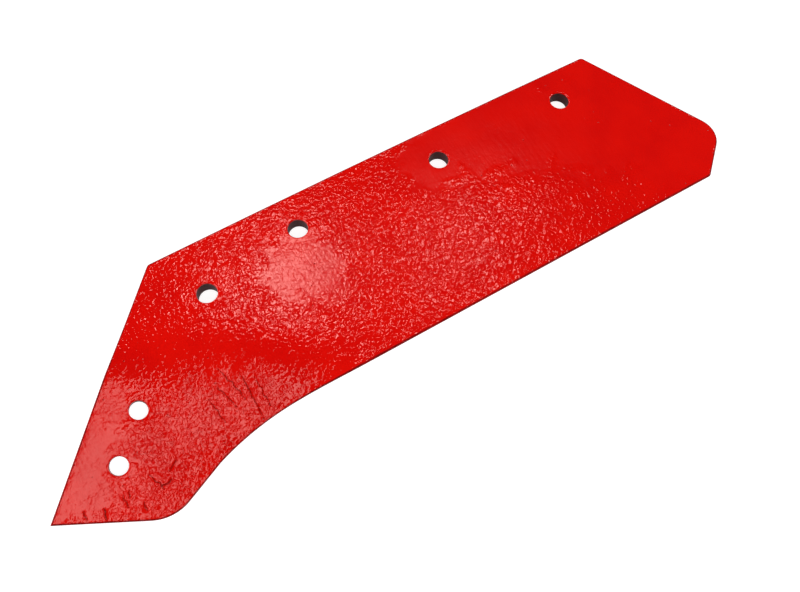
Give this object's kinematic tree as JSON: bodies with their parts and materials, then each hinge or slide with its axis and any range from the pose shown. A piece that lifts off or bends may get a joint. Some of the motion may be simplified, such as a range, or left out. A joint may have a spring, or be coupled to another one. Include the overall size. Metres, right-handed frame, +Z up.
{
  "type": "plough share",
  "caption": "Right-hand plough share: a flat steel blade with a straight bevelled cutting edge and a twisted nose, bolted along its upper edge, with bolt holes for a point in the nose.",
  "frame": {"origin": "middle of the bolt hole nearest the landside, on its axis and half way through the blade", "axes": "the share lies on the ground on its nose and its mouldboard edge, with the rear face up: +X along the cutting edge to the heel, +Y level from the cutting edge to the mouldboard edge, +Z straight up; the blade slopes 12.8 degrees down toward +Y"},
  "size_m": [0.4867, 0.1427, 0.0375],
  "materials": {
    "paint": "gloss"
  },
  "bodies": {
    "root": {"share_plate": "paint"}
  },
  "joints": []
}
